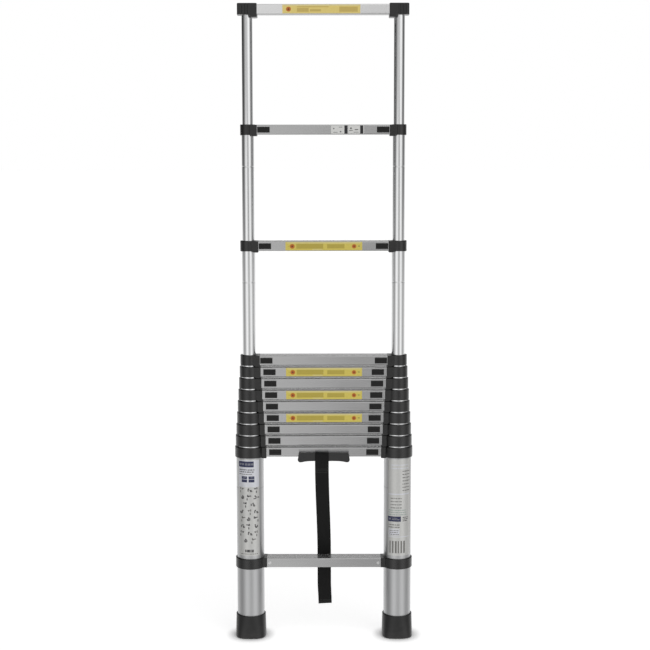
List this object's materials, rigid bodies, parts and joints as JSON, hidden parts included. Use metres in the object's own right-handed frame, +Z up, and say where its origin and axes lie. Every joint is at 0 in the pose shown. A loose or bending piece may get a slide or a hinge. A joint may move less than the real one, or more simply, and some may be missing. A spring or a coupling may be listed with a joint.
{
  "type": "telescoping ladder",
  "caption": "Aluminium telescoping ladder with nesting round stiles, box rungs, sliding thumb latches, rubber feet and a carry strap.",
  "frame": {"origin": "on the floor, midway between the two feet", "axes": "+Z up along the stiles, +X to the right, and the front with the latch buttons faces -Y"},
  "size_m": [0.4724, 0.0828, 1.6675],
  "materials": {
    "tube_aluminium": "satin drawn tube",
    "rung_aluminium": "matt anodised extrusion",
    "collar_plastic": "fine grained black moulding",
    "latch_plastic": "satin black moulding",
    "foot_rubber": "dull black rubber",
    "grip_plastic": "soft-touch black moulding",
    "strap_webbing": "woven black webbing",
    "label_film": "satin adhesive film",
    "spring_steel": "drawn wire"
  },
  "bodies": {
    "base": {"section_01_tubes": "tube_aluminium", "section_01_rung": "rung_aluminium", "section_01_collars": "collar_plastic", "feet": "foot_rubber", "carry_handle": "grip_plastic", "carry_strap": "strap_webbing"},
    "section_02": {"section_02_tubes": "tube_aluminium", "section_02_rung": "rung_aluminium", "section_02_collars": "collar_plastic"},
    "section_03": {"section_03_tubes": "tube_aluminium", "section_03_rung": "rung_aluminium", "section_03_collars": "collar_plastic"},
    "section_04": {"section_04_tubes": "tube_aluminium", "section_04_rung": "rung_aluminium", "section_04_collars": "collar_plastic"},
    "section_05": {"section_05_tubes": "tube_aluminium", "section_05_rung": "rung_aluminium", "section_05_collars": "collar_plastic"},
    "section_06": {"section_06_tubes": "tube_aluminium", "section_06_rung": "rung_aluminium", "section_06_collars": "collar_plastic"},
    "section_07": {"section_07_tubes": "tube_aluminium", "section_07_rung": "rung_aluminium", "section_07_collars": "collar_plastic"},
    "section_08": {"section_08_tubes": "tube_aluminium", "section_08_rung": "rung_aluminium", "section_08_collars": "collar_plastic"},
    "section_09": {"section_09_tubes": "tube_aluminium", "section_09_rung": "rung_aluminium", "section_09_collars": "collar_plastic"},
    "section_10": {"section_10_tubes": "tube_aluminium", "section_10_rung": "rung_aluminium", "section_10_collars": "collar_plastic"},
    "section_11": {"section_11_tubes": "tube_aluminium", "section_11_rung": "rung_aluminium", "section_11_collars": "collar_plastic"},
    "section_12": {"section_12_tubes_and_rung": "tube_aluminium", "section_12_top_caps": "collar_plastic"},
    "latch_01_left": {"latch_01_left": "latch_plastic"},
    "latch_01_right": {"latch_01_right": "latch_plastic"},
    "latch_02_left": {"latch_02_left": "latch_plastic"},
    "latch_02_right": {"latch_02_right": "latch_plastic"},
    "latch_03_left": {"latch_03_left": "latch_plastic"},
    "latch_03_right": {"latch_03_right": "latch_plastic"},
    "latch_04_left": {"latch_04_left": "latch_plastic"},
    "latch_04_right": {"latch_04_right": "latch_plastic"},
    "latch_05_left": {"latch_05_left": "latch_plastic"},
    "latch_05_right": {"latch_05_right": "latch_plastic"},
    "latch_06_left": {"latch_06_left": "latch_plastic"},
    "latch_06_right": {"latch_06_right": "latch_plastic"},
    "latch_07_left": {"latch_07_left": "latch_plastic"},
    "latch_07_right": {"latch_07_right": "latch_plastic"},
    "latch_08_left": {"latch_08_left": "latch_plastic"},
    "latch_08_right": {"latch_08_right": "latch_plastic"},
    "latch_09_left": {"latch_09_left": "latch_plastic"},
    "latch_09_right": {"latch_09_right": "latch_plastic"},
    "latch_10_left": {"latch_10_left": "latch_plastic"},
    "latch_10_right": {"latch_10_right": "latch_plastic"},
    "latch_11_left": {"latch_11_left": "latch_plastic"},
    "latch_11_right": {"latch_11_right": "latch_plastic"}
  },
  "joints": [
    {"name": "section_02_slide", "type": "slide", "parent": "base", "child": "section_02", "axis": [0, 0, 1], "range_m": [0, 0.2695]},
    {"name": "section_03_slide", "type": "slide", "parent": "section_02", "child": "section_03", "axis": [0, 0, 1], "range_m": [0, 0.2695]},
    {"name": "section_04_slide", "type": "slide", "parent": "section_03", "child": "section_04", "axis": [0, 0, 1], "range_m": [0, 0.2695]},
    {"name": "section_05_slide", "type": "slide", "parent": "section_04", "child": "section_05", "axis": [0, 0, 1], "range_m": [0, 0.2695]},
    {"name": "section_06_slide", "type": "slide", "parent": "section_05", "child": "section_06", "axis": [0, 0, 1], "range_m": [0, 0.2695]},
    {"name": "section_07_slide", "type": "slide", "parent": "section_06", "child": "section_07", "axis": [0, 0, 1], "range_m": [0, 0.2695]},
    {"name": "section_08_slide", "type": "slide", "parent": "section_07", "child": "section_08", "axis": [0, 0, 1], "range_m": [0, 0.2695]},
    {"name": "section_09_slide", "type": "slide", "parent": "section_08", "child": "section_09", "axis": [0, 0, 1], "range_m": [0, 0.2695]},
    {"name": "section_10_slide", "type": "slide", "parent": "section_09", "child": "section_10", "axis": [0, 0, 1], "range_m": [-0.2695, 0]},
    {"name": "section_11_slide", "type": "slide", "parent": "section_10", "child": "section_11", "axis": [0, 0, 1], "range_m": [-0.2695, 0]},
    {"name": "section_12_slide", "type": "slide", "parent": "section_11", "child": "section_12", "axis": [0, 0, 1], "range_m": [-0.2695, 0]},
    {"name": "latch_01_left_slide", "type": "slide", "parent": "base", "child": "latch_01_left", "axis": [1, 0, 0], "range_m": [-0.006, 0], "stiffness_N_per_m": 600},
    {"name": "latch_01_right_slide", "type": "slide", "parent": "base", "child": "latch_01_right", "axis": [-1, 0, 0], "range_m": [-0.006, 0], "stiffness_N_per_m": 600},
    {"name": "latch_02_left_slide", "type": "slide", "parent": "section_02", "child": "latch_02_left", "axis": [1, 0, 0], "range_m": [-0.006, 0], "stiffness_N_per_m": 600},
    {"name": "latch_02_right_slide", "type": "slide", "parent": "section_02", "child": "latch_02_right", "axis": [-1, 0, 0], "range_m": [-0.006, 0], "stiffness_N_per_m": 600},
    {"name": "latch_03_left_slide", "type": "slide", "parent": "section_03", "child": "latch_03_left", "axis": [1, 0, 0], "range_m": [-0.006, 0], "stiffness_N_per_m": 600},
    {"name": "latch_03_right_slide", "type": "slide", "parent": "section_03", "child": "latch_03_right", "axis": [-1, 0, 0], "range_m": [-0.006, 0], "stiffness_N_per_m": 600},
    {"name": "latch_04_left_slide", "type": "slide", "parent": "section_04", "child": "latch_04_left", "axis": [1, 0, 0], "range_m": [-0.006, 0], "stiffness_N_per_m": 600},
    {"name": "latch_04_right_slide", "type": "slide", "parent": "section_04", "child": "latch_04_right", "axis": [-1, 0, 0], "range_m": [-0.006, 0], "stiffness_N_per_m": 600},
    {"name": "latch_05_left_slide", "type": "slide", "parent": "section_05", "child": "latch_05_left", "axis": [1, 0, 0], "range_m": [-0.006, 0], "stiffness_N_per_m": 600},
    {"name": "latch_05_right_slide", "type": "slide", "parent": "section_05", "child": "latch_05_right", "axis": [-1, 0, 0], "range_m": [-0.006, 0], "stiffness_N_per_m": 600},
    {"name": "latch_06_left_slide", "type": "slide", "parent": "section_06", "child": "latch_06_left", "axis": [1, 0, 0], "range_m": [-0.006, 0], "stiffness_N_per_m": 600},
    {"name": "latch_06_right_slide", "type": "slide", "parent": "section_06", "child": "latch_06_right", "axis": [-1, 0, 0], "range_m": [-0.006, 0], "stiffness_N_per_m": 600},
    {"name": "latch_07_left_slide", "type": "slide", "parent": "section_07", "child": "latch_07_left", "axis": [1, 0, 0], "range_m": [-0.006, 0], "stiffness_N_per_m": 600},
    {"name": "latch_07_right_slide", "type": "slide", "parent": "section_07", "child": "latch_07_right", "axis": [-1, 0, 0], "range_m": [-0.006, 0], "stiffness_N_per_m": 600},
    {"name": "latch_08_left_slide", "type": "slide", "parent": "section_08", "child": "latch_08_left", "axis": [1, 0, 0], "range_m": [-0.006, 0], "stiffness_N_per_m": 600},
    {"name": "latch_08_right_slide", "type": "slide", "parent": "section_08", "child": "latch_08_right", "axis": [-1, 0, 0], "range_m": [-0.006, 0], "stiffness_N_per_m": 600},
    {"name": "latch_09_left_slide", "type": "slide", "parent": "section_09", "child": "latch_09_left", "axis": [1, 0, 0], "range_m": [0, 0.006], "stiffness_N_per_m": 600, "springref_m": -0.004},
    {"name": "latch_09_right_slide", "type": "slide", "parent": "section_09", "child": "latch_09_right", "axis": [-1, 0, 0], "range_m": [0, 0.006], "stiffness_N_per_m": 600, "springref_m": -0.004},
    {"name": "latch_10_left_slide", "type": "slide", "parent": "section_10", "child": "latch_10_left", "axis": [1, 0, 0], "range_m": [0, 0.006], "stiffness_N_per_m": 600, "springref_m": -0.004},
    {"name": "latch_10_right_slide", "type": "slide", "parent": "section_10", "child": "latch_10_right", "axis": [-1, 0, 0], "range_m": [0, 0.006], "stiffness_N_per_m": 600, "springref_m": -0.004},
    {"name": "latch_11_left_slide", "type": "slide", "parent": "section_11", "child": "latch_11_left", "axis": [1, 0, 0], "range_m": [0, 0.006], "stiffness_N_per_m": 600, "springref_m": -0.004},
    {"name": "latch_11_right_slide", "type": "slide", "parent": "section_11", "child": "latch_11_right", "axis": [-1, 0, 0], "range_m": [0, 0.006], "stiffness_N_per_m": 600, "springref_m": -0.004}
  ]
}
